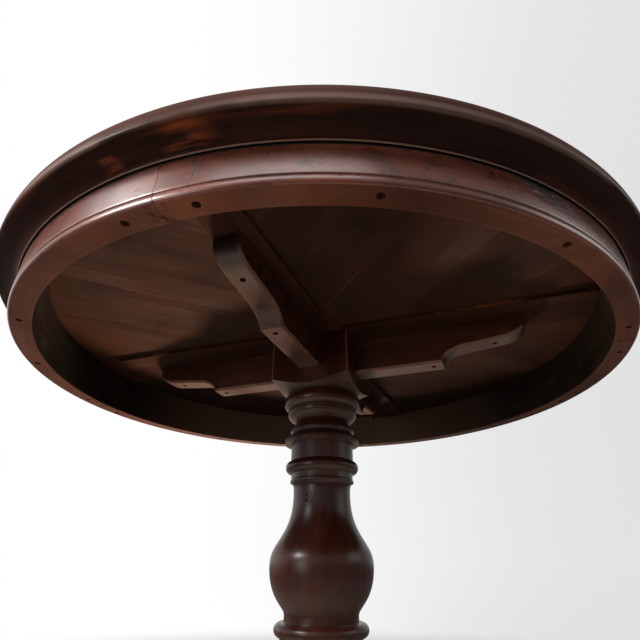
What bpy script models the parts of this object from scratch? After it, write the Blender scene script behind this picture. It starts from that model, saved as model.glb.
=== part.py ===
"""Round pedestal dining table: a quartered board top with a moulded edge, a deep apron ring and
four bracket arms on a turned column with four downswept legs. Metres, +Z up, floor at Z = 0,
arms and legs along X and Y."""

import math

import bmesh
import bpy
from mathutils import Matrix, Vector
from mathutils.geometry import interpolate_bezier

for old in list(bpy.data.objects):
    bpy.data.objects.remove(old, do_unlink=True)

GAP = 0.0003
RING_STEPS = 20
TURNING_STEPS = 24
HOLE_STEPS = 8
SHARP_ANGLE = math.radians(32.0)

QUADRANTS = ("far_right", "far_left", "near_left", "near_right")
SIDES = ("right", "far", "left", "near")

# Top: boards laid along the bisector of each quadrant, inside a moulded edge
TABLE_HEIGHT = 0.760
TABLE_RADIUS = 0.600
BOARD_THICKNESS = 0.022
BOARD_JOINTS = (-0.070, 0.066, 0.200)
EDGE_OVERHANG = 0.038
EDGE_DEPTH = 0.056
EDGE_BEAD = 0.0030
EDGE_COVE = 0.0110
EDGE_LIP = 0.0045
EDGE_THUMB = 0.0140
EDGE_FILLET = 0.0040
EDGE_JOINT_TURN = 45.0
UNDERSIDE = TABLE_HEIGHT - BOARD_THICKNESS

# Apron ring in four segments, with the turn of each butt joint
APRON_THICKNESS = 0.034
APRON_DEPTH = 0.089
APRON_BEAD = 0.011
APRON_QUIRK = 0.0035
APRON_JOINT_TURNS = (-4.0, 92.0, 185.0, 271.5)
APRON_OUTER = TABLE_RADIUS - EDGE_OVERHANG
APRON_INNER = APRON_OUTER - APRON_THICKNESS
RIM = UNDERSIDE - APRON_DEPTH

# Battens under the meeting lines of the quadrants
BATTEN_THICKNESS = 0.0067
LONG_BATTEN_FAR = 0.0225
LONG_BATTEN_RIGHT_END = 0.075
LONG_BATTEN_LEFT_END = 0.102
CROSS_BATTEN_LEFT = -0.019
NEAR_BATTEN_INNER = 0.054
NEAR_BATTEN_OUTER = 0.046
FAR_BATTEN_INNER = 0.035
FAR_BATTEN_OUTER = 0.081
BATTEN_TOP = UNDERSIDE - GAP
BATTEN_BOTTOM = BATTEN_TOP - BATTEN_THICKNESS

# Bracket arms: four lengths outwards from the head, and how far each stands above the rim
ARM_THICKNESS = 0.045
ARM_FLAT = 0.170
ARM_COVE = 0.048
ARM_RISE = 0.070
ARM_NOSE = 0.041
ARM_FLAT_LIFT = 0.012
ARM_COVE_LIFT = 0.039
ARM_RISE_LIFT = 0.046
ARM_ARRIS = 0.004
ARM_TENON_DEPTH = 0.016
ARM_TENON_THICKNESS = 0.020
ARM_TENON_HEIGHT = 0.042
ARM_TOP = BATTEN_BOTTOM - GAP

# Square head of the column and the turned stack below it, as drops from the rim to each member
HEAD_HALF = 0.079
HEAD_CORNER_DROP = 0.003
SHOULDER_DROP = 0.0245
SHOULDER_RADIUS = 0.066
TORUS_DROP = 0.040
TORUS_HEIGHT = 0.029
TORUS_RADIUS = 0.077
OVOLO_DROP = 0.0605
OVOLO_HEIGHT = 0.0165
OVOLO_RADIUS = 0.069
NECKING_RADIUS = 0.0525
FILLET_DROP = 0.0985
FILLET_HEIGHT = 0.0030
FILLET_RADIUS = 0.0620
DISC_DROP = 0.1225
DISC_HEIGHT = 0.0070
DISC_FLARE = 0.0130
DISC_RADIUS = 0.072
NECK_RADIUS = 0.0595
RING_DROP = 0.166
RING_HEIGHT = 0.022
RING_RADIUS = 0.069
COLLAR_DROP = 0.193
VASE_NECK_DROP = 0.2145
VASE_NECK_RADIUS = 0.0525
VASE_RADIUS = 0.090

# Drum at the column's foot
DRUM_RADIUS = 0.068
DRUM_BOTTOM = 0.092
DRUM_TOP = 0.222
DRUM_CHAMFER = 0.006
DRUM_RING_HEIGHT = 0.020
DRUM_RING_SPREAD = 0.010
VASE_FOOT = DRUM_TOP + 0.029
VASE_FOOT_RADIUS = 0.062
VASE_BELLY = DRUM_TOP + 0.102

# Downswept legs
LEG_THICKNESS = 0.050
LEG_REACH = 0.418
LEG_ROOT_INSET = 0.012
LEG_FOOT_LENGTH = 0.074
LEG_FOOT_HEIGHT = 0.056
LEG_TOE = 0.008
LEG_ROUNDING = 0.004
LEG_TENON_DEPTH = 0.020
LEG_TENON_THICKNESS = 0.022
LEG_TENON_HEIGHT = 0.070

# Wood screws in deep counterbored holes
HOLE_RADIUS = 0.0050
SHANK_RADIUS = 0.0020
HEAD_THICKNESS = 0.0025
SCREW_BITE = 0.014
RIM_SCREW_LIFT = 0.034
RIM_SCREW_TURNS = {
    "far_right": (1.0, 29.0, 53.0, 87.0),
    "far_left": (97.0, 118.0, 144.0, 179.5),
    "near_left": (190.0, 212.0, 231.0, 266.5),
    "near_right": (276.0, 296.0, 321.0, 350.5),
}
ARM_SCREW_INSET = 0.018
ARM_SCREW_DEPTH = 0.026
SCREW_TIP = UNDERSIDE + SCREW_BITE


def wood(name, colour, roughness, metallic=0.0):
    material = bpy.data.materials.new(name)
    material.use_nodes = True
    shader = material.node_tree.nodes["Principled BSDF"]
    shader.inputs["Base Color"].default_value = (*colour, 1.0)
    shader.inputs["Roughness"].default_value = roughness
    shader.inputs["Metallic"].default_value = metallic
    return material


POLISHED = wood("polished_mahogany", (0.070, 0.018, 0.010), 0.25)
TURNED = wood("turned_mahogany", (0.080, 0.018, 0.010), 0.22)
BOARD = wood("board_mahogany", (0.055, 0.026, 0.018), 0.40)
BRACKET = wood("bracket_mahogany", (0.075, 0.026, 0.015), 0.32)
STEEL = wood("dark_screw_steel", (0.10, 0.08, 0.07), 0.45, 1.0)

TABLE = bpy.data.objects.new("table", None)
bpy.context.scene.collection.objects.link(TABLE)


def mesh_of(name, shape, material=None):
    """Closes a bmesh into mesh data, with round stretches shaded smooth."""
    bmesh.ops.recalc_face_normals(shape, faces=shape.faces)
    data = bpy.data.meshes.new(name)
    shape.to_mesh(data)
    shape.free()
    data.shade_smooth()
    data.set_sharp_from_angle(angle=SHARP_ANGLE)
    if material:
        data.materials.append(material)
    return data


def place(name, data, turn=0.0, location=(0.0, 0.0, 0.0)):
    """One piece of the table, turned about the table's axis or moved off it."""
    obj = bpy.data.objects.new(name, data)
    bpy.context.scene.collection.objects.link(obj)
    obj.parent = TABLE
    obj.rotation_euler.z = math.radians(turn)
    obj.location = location
    return obj


def cutter(name, data, turn=0.0):
    """A hidden helper for a Boolean."""
    obj = place(name, data, turn)
    obj.hide_render = True
    obj.display_type = "WIRE"
    return obj


def boolean(obj, other, operation="DIFFERENCE"):
    modifier = obj.modifiers.new(f"{operation.lower()}_{other.name}", "BOOLEAN")
    modifier.operation = operation
    modifier.solver = "EXACT"
    modifier.object = other


def arc(centre, radii, start, end, steps):
    """Points of an elliptical arc, by its centre, its two radii and its end angles in degrees."""
    points = []
    for step in range(steps + 1):
        angle = math.radians(start + (end - start) * step / steps)
        points.append((centre[0] + radii[0] * math.cos(angle), centre[1] + radii[1] * math.sin(angle)))
    return points


def curve(start, start_handle, end_handle, end, steps):
    """Points of one Bezier span without its first point."""
    span = interpolate_bezier(Vector(start), Vector(start_handle), Vector(end_handle), Vector(end), steps + 1)
    return [(point.x, point.y) for point in span[1:]]


def bead(root, middle, height, crest, steps=5):
    """A rounded bead standing out from the root radius, about a middle height."""
    return arc((root, middle), (crest - root, height / 2), -90.0, 90.0, steps)


def prism(outline, bottom, top):
    """A flat outline in XY carried from one height to another."""
    shape = bmesh.new()
    face = shape.faces.new([shape.verts.new((x, y, bottom)) for x, y in outline])
    raised = bmesh.ops.extrude_face_region(shape, geom=[face])["geom"]
    corners = [item for item in raised if isinstance(item, bmesh.types.BMVert)]
    bmesh.ops.translate(shape, verts=corners, vec=(0.0, 0.0, top - bottom))
    return shape


def plate(outline, thickness):
    """A side view, as (distance out, height), standing along the X axis with this thickness."""
    shape = prism(outline, -thickness / 2, thickness / 2)
    shape.transform(Matrix.Rotation(math.radians(90.0), 4, "X"))
    bmesh.ops.recalc_face_normals(shape, faces=shape.faces)
    return shape


def turning(profile, steps):
    """A solid turned about Z through (radius, height) points, flat at both ends."""
    shape = bmesh.new()
    rings = []
    for radius, height in profile:
        angles = [2.0 * math.pi * step / steps for step in range(steps)]
        rings.append([shape.verts.new((radius * math.cos(a), radius * math.sin(a), height)) for a in angles])
    for low, high in zip(rings, rings[1:]):
        for step in range(steps):
            after = (step + 1) % steps
            shape.faces.new((low[step], low[after], high[after], high[step]))
    shape.faces.new(rings[0])
    shape.faces.new(rings[-1])
    return shape


def ring_segment(profile, sweep):
    """A moulding of this (radius, height) profile swept about Z, short of both ends by half a gap."""
    shape = bmesh.new()
    trim = GAP / 2 / APRON_INNER
    face = shape.faces.new([shape.verts.new((radius, 0.0, height)) for radius, height in profile])
    shape.transform(Matrix.Rotation(trim, 4, "Z"))
    bmesh.ops.spin(
        shape,
        geom=[face, *face.edges, *face.verts],
        axis=(0.0, 0.0, 1.0),
        cent=(0.0, 0.0, 0.0),
        angle=math.radians(sweep) - 2.0 * trim,
        steps=RING_STEPS,
    )
    return shape


def apron_profile():
    """Inner wall, flat bottom, bead with a quirk above it, and the plain band."""
    band = APRON_OUTER - GAP
    quirk = RIM + APRON_BEAD
    profile = [(APRON_INNER, UNDERSIDE - GAP), (APRON_INNER, RIM)]
    profile += bead(band - APRON_QUIRK, RIM + APRON_BEAD / 2, APRON_BEAD, band, 4)
    profile += [(band - APRON_QUIRK, quirk + GAP), (band, quirk + APRON_QUIRK), (band, UNDERSIDE - GAP)]
    return profile


def edge_profile():
    """Quirk bead, cove flaring out, rounded lip, thumb moulding and fillet."""
    foot = TABLE_HEIGHT - EDGE_DEPTH
    inner = APRON_OUTER / math.cos(math.radians(45.0 / RING_STEPS))
    root = inner + EDGE_BEAD / 2
    cove_foot = foot + EDGE_BEAD + GAP
    lip_radius = TABLE_RADIUS - EDGE_LIP
    cove_width = lip_radius - root
    widest = cove_foot + EDGE_COVE + EDGE_LIP
    fillet = TABLE_HEIGHT - EDGE_FILLET
    thumb_foot = widest + EDGE_LIP
    profile = [(inner, TABLE_HEIGHT), (inner, foot)]
    profile += bead(root, foot + EDGE_BEAD / 2, EDGE_BEAD, inner + EDGE_BEAD, 4)
    profile += arc((lip_radius, cove_foot), (cove_width, EDGE_COVE), 178.0, 96.0, 4)
    profile += arc((lip_radius, widest), (EDGE_LIP, EDGE_LIP), -80.0, 0.0, 2)
    profile += arc((TABLE_RADIUS - EDGE_THUMB, thumb_foot), (EDGE_THUMB, fillet - thumb_foot), 0.0, 84.0, 3)
    profile += [(TABLE_RADIUS - EDGE_THUMB - EDGE_FILLET / 2, fillet)]
    profile += [(TABLE_RADIUS - EDGE_THUMB - EDGE_FILLET, TABLE_HEIGHT)]
    return profile


def board_outline(low, high, radius):
    """One board of a quadrant about the X axis: long edges, mitred inner end and round outer end."""
    low += GAP / 2
    high -= GAP / 2
    mitre = GAP / math.sqrt(2.0)
    inner = [(abs(low) + mitre, low)]
    if low < 0.0 < high:
        inner.append((mitre, 0.0))
    inner.append((abs(high) + mitre, high))
    start = math.degrees(math.asin(high / radius))
    end = math.degrees(math.asin(low / radius))
    return inner + arc((0.0, 0.0), (radius, radius), start, end, max(3, round((start - end) / 5.0)))


def make_boards():
    """The four boards of a quadrant, repeated round the table."""
    radius = APRON_OUTER - GAP
    corner = radius * math.sqrt(0.5) - 2.0 * GAP
    edges = (-corner, *BOARD_JOINTS, corner)
    boards = []
    for number, (low, high) in enumerate(zip(edges, edges[1:]), start=1):
        shape = prism(board_outline(low, high, radius), UNDERSIDE, TABLE_HEIGHT)
        data = mesh_of(f"top_board_{number}", shape, BOARD)
        for quadrant, side in enumerate(QUADRANTS):
            boards.append(place(f"top_board_{side}_{number}", data, 45.0 + 90.0 * quadrant))
    return boards


def make_apron():
    """Four unequal segments between the butt joints."""
    ends = (*APRON_JOINT_TURNS[1:], APRON_JOINT_TURNS[0] + 360.0)
    segments = []
    for side, start, end in zip(QUADRANTS, APRON_JOINT_TURNS, ends):
        data = mesh_of(f"apron_{side}", ring_segment(apron_profile(), end - start), POLISHED)
        segments.append(place(f"apron_{side}", data, start))
    return segments


def make_edge():
    """Four equal segments round the boards and the upper part of the apron."""
    data = mesh_of("edge_moulding", ring_segment(edge_profile(), 90.0), POLISHED)
    for index, side in enumerate(SIDES):
        place(f"edge_moulding_{side}", data, 90.0 * index - EDGE_JOINT_TURN)


def make_battens():
    """The long batten from wall to wall, and the cross batten in two lengths against it."""
    reach = APRON_INNER - 2.0 * GAP
    far = math.degrees(math.asin(LONG_BATTEN_FAR / reach))
    right = -math.degrees(math.asin(LONG_BATTEN_RIGHT_END / reach))
    left = 180.0 + math.degrees(math.asin(LONG_BATTEN_LEFT_END / reach))
    outline = arc((0.0, 0.0), (reach, reach), right, far, 6)
    outline += arc((0.0, 0.0), (reach, reach), 180.0 - far, left, 6)
    data = mesh_of("batten_long", prism(outline, BATTEN_BOTTOM, BATTEN_TOP), BRACKET)
    battens = [place("batten_long", data)]
    slope = (outline[0][1] - outline[-1][1]) / (outline[0][0] - outline[-1][0])
    middle = GAP - outline[0][1] + outline[0][0] * slope
    near_ends = [(middle - slope * side, side) for side in (NEAR_BATTEN_INNER, CROSS_BATTEN_LEFT)]
    far_ends = [(LONG_BATTEN_FAR + GAP, -side) for side in (CROSS_BATTEN_LEFT, FAR_BATTEN_INNER)]
    crosses = (
        ("far", 90.0, far_ends, -FAR_BATTEN_OUTER, -CROSS_BATTEN_LEFT),
        ("near", 270.0, near_ends, CROSS_BATTEN_LEFT, NEAR_BATTEN_OUTER),
    )
    for side, turn, ends, low, high in crosses:
        start = math.degrees(math.asin(low / reach))
        end = math.degrees(math.asin(high / reach))
        outline = ends + arc((0.0, 0.0), (reach, reach), start, end, 4)
        data = mesh_of(f"batten_cross_{side}", prism(outline, BATTEN_BOTTOM, BATTEN_TOP), BRACKET)
        battens.append(place(f"batten_cross_{side}", data, turn))
    return battens


def tenon_outline(shoulder, depth, middle, height, overlap, clearance=0.0):
    """Side view of a tenon that runs back from a shoulder, or of its mortise with a clearance."""
    back = shoulder - depth - clearance
    front = shoulder + overlap
    low = middle - height / 2 - clearance
    high = middle + height / 2 + clearance
    return [(back, low), (front, low), (front, high), (back, high)]


def arm_outline():
    """Side view of a bracket arm: flat, cove, long rise and rounded nose."""
    start = HEAD_HALF + GAP
    flat_end = start + ARM_FLAT
    cove_end = flat_end + ARM_COVE
    rise_end = cove_end + ARM_RISE
    tip = rise_end + ARM_NOSE
    flat = RIM + ARM_FLAT_LIFT
    cove = RIM + ARM_COVE_LIFT
    rise = RIM + ARM_RISE_LIFT
    outline = [(start, ARM_TOP), (start, flat), (flat_end, flat)]
    outline += curve(
        (flat_end, flat),
        (flat_end + ARM_COVE * 0.10, flat + (cove - flat) * 0.62),
        (cove_end - ARM_COVE * 0.46, cove - (cove - flat) * 0.06),
        (cove_end, cove),
        6,
    )
    outline.append((rise_end, rise))
    outline += curve(
        (rise_end, rise),
        (rise_end + ARM_NOSE * 0.56, rise + (ARM_TOP - rise) * 0.12),
        (tip - ARM_NOSE * 0.03, ARM_TOP - (ARM_TOP - rise) * 0.72),
        (tip, ARM_TOP),
        6,
    )
    return outline


def arm_shape():
    """The bracket with its lower arrises taken off from the head to the tip."""
    shape = plate(arm_outline(), ARM_THICKNESS)
    arrises = []
    for edge in shape.edges:
        first, second = [vertex.co for vertex in edge.verts]
        along = abs(first.y - second.y) < GAP and max(first.x, second.x) > HEAD_HALF + ARM_ARRIS
        if along and min(first.z, second.z) < ARM_TOP - GAP:
            arrises.append(edge)
    bmesh.ops.bevel(shape, geom=arrises, offset=ARM_ARRIS, segments=1, affect="EDGES")
    return shape


def make_arms(column):
    """Four arms tenoned into the faces of the head."""
    middle = (RIM + ARM_FLAT_LIFT + ARM_TOP) / 2
    joint = (HEAD_HALF, ARM_TENON_DEPTH, middle, ARM_TENON_HEIGHT, ARM_TENON_DEPTH)
    tenon = mesh_of("arm_tenon", plate(tenon_outline(*joint), ARM_TENON_THICKNESS))
    mortise = mesh_of("arm_mortise", plate(tenon_outline(*joint, GAP), ARM_TENON_THICKNESS + 2.0 * GAP))
    data = mesh_of("arm", arm_shape(), BRACKET)
    arms = []
    for index, side in enumerate(SIDES):
        arm = place(f"arm_{side}", data, 90.0 * index)
        boolean(arm, cutter(f"arm_tenon_{side}", tenon, 90.0 * index), "UNION")
        boolean(column, cutter(f"arm_mortise_{side}", mortise, 90.0 * index))
        arms.append(arm)
    return arms


def leg_outline():
    """Side view of a leg that sweeps down and out from the drum to a rounded toe."""
    root = DRUM_RADIUS - LEG_ROOT_INSET
    spring = DRUM_RADIUS + LEG_ROUNDING
    top = DRUM_TOP - LEG_ROOT_INSET
    low = DRUM_BOTTOM + LEG_ROOT_INSET
    span = LEG_REACH - spring
    toe = LEG_REACH - LEG_TOE
    heel = toe - LEG_FOOT_LENGTH
    instep = (heel + LEG_FOOT_LENGTH * 0.57, LEG_FOOT_HEIGHT)
    knee = (spring + span * 0.36, low - (top - low) * 0.34)
    outline = [(root, low), (root, top), (spring, top)]
    crest_handle = (spring + span * 0.28, top)
    instep_handle = (spring + span * 0.44, LEG_FOOT_HEIGHT)
    outline += curve((spring, top), crest_handle, instep_handle, instep, 10)
    nose = (LEG_REACH, LEG_TOE * 2.0)
    outline += curve(instep, (toe, LEG_FOOT_HEIGHT), (LEG_REACH, LEG_FOOT_HEIGHT * 0.7), nose, 4)
    outline += [(toe, 0.0), (heel, 0.0)]
    arch_handle = (knee[0] + span * 0.18, LEG_TOE * 3.0)
    outline += curve((heel, 0.0), (heel, LEG_FOOT_HEIGHT * 0.5), arch_handle, knee, 6)
    knee_handle = (knee[0] - span * 0.10, knee[1] + span * 0.07)
    outline += curve(knee, knee_handle, (spring + span * 0.16, low), (spring, low), 5)
    return outline


def leg_shape():
    """The leg with its long edges rounded over."""
    shape = plate(leg_outline(), LEG_THICKNESS)
    long_edges = [edge for edge in shape.edges if abs(edge.verts[0].co.y - edge.verts[1].co.y) < GAP]
    outer = [edge for edge in long_edges if min(vertex.co.x for vertex in edge.verts) > DRUM_RADIUS]
    bmesh.ops.bevel(shape, geom=outer, offset=LEG_ROUNDING, segments=2, profile=0.5, affect="EDGES")
    return shape


def make_legs(column):
    """Four legs scribed round the drum and tenoned into it."""
    around = [(DRUM_RADIUS + GAP, 0.0), (DRUM_RADIUS + GAP, VASE_BELLY)]
    scribe = cutter("leg_scribe", mesh_of("leg_scribe", turning(around, 2 * TURNING_STEPS)))
    middle = (DRUM_TOP + DRUM_BOTTOM) / 2
    joint = (DRUM_RADIUS, LEG_TENON_DEPTH, middle, LEG_TENON_HEIGHT, LEG_ROOT_INSET)
    tenon = mesh_of("leg_tenon", plate(tenon_outline(*joint), LEG_TENON_THICKNESS))
    mortise = mesh_of("leg_mortise", plate(tenon_outline(*joint, GAP), LEG_TENON_THICKNESS + 2.0 * GAP))
    data = mesh_of("leg", leg_shape(), POLISHED)
    for index, side in enumerate(SIDES):
        leg = place(f"leg_{side}", data, 90.0 * index)
        boolean(leg, scribe)
        boolean(leg, cutter(f"leg_tenon_{side}", tenon, 90.0 * index), "UNION")
        boolean(column, cutter(f"leg_mortise_{side}", mortise, 90.0 * index))


def column_profile():
    """Foot drum, vase, and the stack of rings and coves below the square head."""
    vase_neck = RIM - VASE_NECK_DROP
    collar = RIM - COLLAR_DROP
    head_radius = HEAD_HALF * math.sqrt(2.0) + GAP
    vase_rise = vase_neck - VASE_BELLY
    foot_rise = VASE_BELLY - VASE_FOOT
    profile = [(DRUM_RADIUS - DRUM_CHAMFER, DRUM_BOTTOM), (DRUM_RADIUS, DRUM_BOTTOM + DRUM_CHAMFER)]
    ring_middle = DRUM_TOP + DRUM_RING_HEIGHT / 2
    profile += bead(DRUM_RADIUS, ring_middle, DRUM_RING_HEIGHT, DRUM_RADIUS + DRUM_RING_SPREAD)
    profile += [(VASE_FOOT_RADIUS, DRUM_TOP + DRUM_RING_HEIGHT + GAP), (VASE_FOOT_RADIUS, VASE_FOOT)]
    profile += curve(
        (VASE_FOOT_RADIUS, VASE_FOOT),
        (VASE_FOOT_RADIUS, VASE_FOOT + foot_rise * 0.17),
        (VASE_RADIUS, VASE_FOOT + foot_rise * 0.30),
        (VASE_RADIUS, VASE_BELLY),
        7,
    )
    profile += curve(
        (VASE_RADIUS, VASE_BELLY),
        (VASE_RADIUS, VASE_BELLY + vase_rise * 0.32),
        (VASE_NECK_RADIUS, vase_neck - vase_rise * 0.61),
        (VASE_NECK_RADIUS, vase_neck),
        8,
    )
    profile += curve(
        (VASE_NECK_RADIUS, vase_neck),
        (VASE_NECK_RADIUS, (vase_neck + collar) / 2),
        (VASE_NECK_RADIUS, collar - GAP),
        (NECK_RADIUS, collar),
        3,
    )
    profile += bead(NECK_RADIUS, RIM - RING_DROP, RING_HEIGHT, RING_RADIUS)
    disc = RIM - DISC_DROP
    disc_top = disc + DISC_HEIGHT
    fillet = RIM - FILLET_DROP
    necking = RIM - OVOLO_DROP - OVOLO_HEIGHT
    profile += [(NECK_RADIUS, disc - GAP), (DISC_RADIUS, disc), (DISC_RADIUS, disc_top)]
    profile += curve(
        (DISC_RADIUS, disc_top),
        (DISC_RADIUS, disc_top + DISC_FLARE * 0.45),
        (NECK_RADIUS, disc_top + DISC_FLARE * 0.55),
        (NECK_RADIUS, disc_top + DISC_FLARE),
        3,
    )
    profile += [(FILLET_RADIUS, fillet), (FILLET_RADIUS, fillet + FILLET_HEIGHT)]
    profile += curve(
        (FILLET_RADIUS, fillet + FILLET_HEIGHT),
        (FILLET_RADIUS, fillet + FILLET_HEIGHT * 2.0),
        (NECKING_RADIUS, necking - FILLET_HEIGHT * 3.0),
        (NECKING_RADIUS, necking),
        3,
    )
    ovolo = (OVOLO_RADIUS - NECKING_RADIUS, OVOLO_HEIGHT)
    profile += arc((NECKING_RADIUS, RIM - OVOLO_DROP), ovolo, -78.0, 0.0, 3)
    profile += [(OVOLO_RADIUS, RIM - TORUS_DROP - TORUS_HEIGHT / 2 - GAP)]
    profile += bead(SHOULDER_RADIUS, RIM - TORUS_DROP, TORUS_HEIGHT, TORUS_RADIUS)
    profile += [(SHOULDER_RADIUS, RIM - SHOULDER_DROP)]
    profile += [(head_radius, RIM - HEAD_CORNER_DROP), (head_radius, ARM_TOP)]
    return profile


def make_column():
    """One turning whose head is sawn square, so that its sloping shoulder meets each face in an arc."""
    column = place("column", mesh_of("column", turning(column_profile(), TURNING_STEPS), TURNED))
    beyond = 2.0 * HEAD_HALF
    slab = [(HEAD_HALF, -beyond), (beyond, -beyond), (beyond, beyond), (HEAD_HALF, beyond)]
    data = mesh_of("head_waste", prism(slab, RIM - TORUS_DROP, TABLE_HEIGHT))
    for index, side in enumerate(SIDES):
        boolean(column, cutter(f"head_waste_{side}", data, 90.0 * index))
    return column


def screw_places():
    """Name, place and head seat of every screw."""
    places = []
    radius = (APRON_INNER + APRON_OUTER) / 2
    for side, turns in RIM_SCREW_TURNS.items():
        for number, turn in enumerate(turns, start=1):
            spot = Matrix.Rotation(math.radians(turn), 3, "Z") @ Vector((radius, 0.0, 0.0))
            places.append((f"rim_screw_{side}_{number}", spot, RIM + RIM_SCREW_LIFT))
    flat_end = HEAD_HALF + ARM_FLAT
    rise_end = flat_end + ARM_COVE + ARM_RISE
    seats = {
        "inner": (flat_end - ARM_SCREW_INSET, RIM + ARM_FLAT_LIFT + ARM_SCREW_DEPTH),
        "outer": (rise_end - ARM_SCREW_INSET, RIM + ARM_RISE_LIFT + ARM_SCREW_DEPTH / 2),
    }
    for index, side in enumerate(SIDES):
        for end, (reach, seat) in seats.items():
            spot = Matrix.Rotation(math.radians(90.0 * index), 3, "Z") @ Vector((reach, 0.0, 0.0))
            places.append((f"arm_screw_{side}_{end}", spot, seat))
    return places


def make_screws():
    """The screws, and one cutter each for the stepped holes of the rim and of the arms."""
    holes = {"rim": bmesh.new(), "arm": bmesh.new()}
    head = HOLE_RADIUS - GAP
    bore = SHANK_RADIUS + GAP
    for name, spot, seat in screw_places():
        top = seat - GAP
        shank = [(SHANK_RADIUS, top), (SHANK_RADIUS, SCREW_TIP)]
        screw = turning([(head, top - HEAD_THICKNESS), (head, top), *shank], HOLE_STEPS)
        place(name, mesh_of(name, screw, STEEL), 0.0, spot)
        counterbore = [(HOLE_RADIUS, RIM - APRON_BEAD), (HOLE_RADIUS, seat)]
        hole = turning([*counterbore, (bore, seat), (bore, SCREW_TIP + GAP)], HOLE_STEPS)
        hole.transform(Matrix.Translation(spot))
        holes[name[:3]].from_mesh(mesh_of("hole", hole))
    return {kind: cutter(f"{kind}_holes", mesh_of(f"{kind}_holes", shape)) for kind, shape in holes.items()}


def main():
    column = make_column()
    arms = make_arms(column)
    make_legs(column)
    boards = make_boards()
    apron = make_apron()
    make_edge()
    battens = make_battens()
    holes = make_screws()
    for piece in boards + apron:
        boolean(piece, holes["rim"])
    for piece in boards + battens + arms:
        boolean(piece, holes["arm"])


main()
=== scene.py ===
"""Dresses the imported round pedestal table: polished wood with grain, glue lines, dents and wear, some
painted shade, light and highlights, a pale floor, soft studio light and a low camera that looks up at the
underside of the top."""

import math

import bmesh
import bpy
from mathutils import Matrix, Vector, noise
from mathutils.geometry import interpolate_bezier


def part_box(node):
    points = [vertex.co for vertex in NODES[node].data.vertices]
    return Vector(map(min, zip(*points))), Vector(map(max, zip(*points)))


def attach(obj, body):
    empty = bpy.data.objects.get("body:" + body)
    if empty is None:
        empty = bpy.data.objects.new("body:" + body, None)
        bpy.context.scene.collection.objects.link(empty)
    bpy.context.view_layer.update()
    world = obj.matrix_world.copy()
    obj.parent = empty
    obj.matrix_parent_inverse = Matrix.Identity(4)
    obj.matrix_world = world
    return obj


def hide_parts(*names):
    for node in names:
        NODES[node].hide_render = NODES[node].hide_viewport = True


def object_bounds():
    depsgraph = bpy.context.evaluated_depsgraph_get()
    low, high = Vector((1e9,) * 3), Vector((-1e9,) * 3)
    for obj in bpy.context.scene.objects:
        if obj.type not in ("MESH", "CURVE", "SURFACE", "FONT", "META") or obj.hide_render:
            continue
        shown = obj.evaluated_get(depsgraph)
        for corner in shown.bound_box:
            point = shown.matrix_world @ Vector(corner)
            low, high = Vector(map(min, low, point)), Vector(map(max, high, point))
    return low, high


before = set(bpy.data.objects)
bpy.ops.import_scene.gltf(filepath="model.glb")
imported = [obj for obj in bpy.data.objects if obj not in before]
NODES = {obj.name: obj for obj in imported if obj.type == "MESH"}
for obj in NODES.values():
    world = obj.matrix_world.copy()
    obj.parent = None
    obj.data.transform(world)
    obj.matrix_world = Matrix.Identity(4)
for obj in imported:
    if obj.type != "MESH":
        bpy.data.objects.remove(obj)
CAD_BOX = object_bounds()

QUADRANTS = ("far_right", "far_left", "near_left", "near_right")
SIDES = ("right", "far", "left", "near")
GAP = 0.0003

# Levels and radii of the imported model
TABLE_HEIGHT = CAD_BOX[1].z
TABLE_RADIUS = CAD_BOX[1].x
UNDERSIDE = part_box("top_board_far_right_1")[0].z
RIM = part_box("apron_far_right")[0].z
EDGE_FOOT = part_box("edge_moulding_right")[0].z
HEAD_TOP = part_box("column")[1].z
COLUMN_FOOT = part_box("column")[0].z
ARM_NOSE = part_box("arm_right")[1].x
APRON_OUTER = 0.562
APRON_INNER = 0.528
APRON_MIDDLE = (APRON_INNER + APRON_OUTER) / 2
APRON_BEAD = 0.011
APRON_ROUND = 0.0035
APRON_QUIRK = 0.0012
APRON_JOINT_TURNS = (-4.0, 92.0, 185.0, 271.5)
EDGE_BEAD = 0.0030
EDGE_COVE = 0.0110
EDGE_LIP = 0.0045
EDGE_THUMB = 0.0140
EDGE_FILLET = 0.0040
EDGE_WIDEST = EDGE_FOOT + EDGE_BEAD + GAP + EDGE_COVE + EDGE_LIP
EDGE_JOINT_TURN = 45.0
BOARD_JOINTS = (-0.205, -0.070, 0.066, 0.200)
HOLE_RADIUS = 0.0050
HOLE_DEPTH = 0.0343
BORE_RADIUS = 0.0023
RIM_SCREW_TURNS = {
    "far_right": (1.0, 29.0, 53.0, 87.0),
    "far_left": (97.0, 118.0, 144.0, 179.5),
    "near_left": (190.0, 212.0, 231.0, 266.5),
    "near_right": (276.0, 296.0, 321.0, 350.5),
}

HOLE_PROFILE = (
    (HOLE_RADIUS, RIM - HOLE_DEPTH),
    (HOLE_RADIUS, RIM + HOLE_DEPTH),
    (BORE_RADIUS, RIM + HOLE_DEPTH),
    (BORE_RADIUS, UNDERSIDE + HOLE_DEPTH),
)

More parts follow.
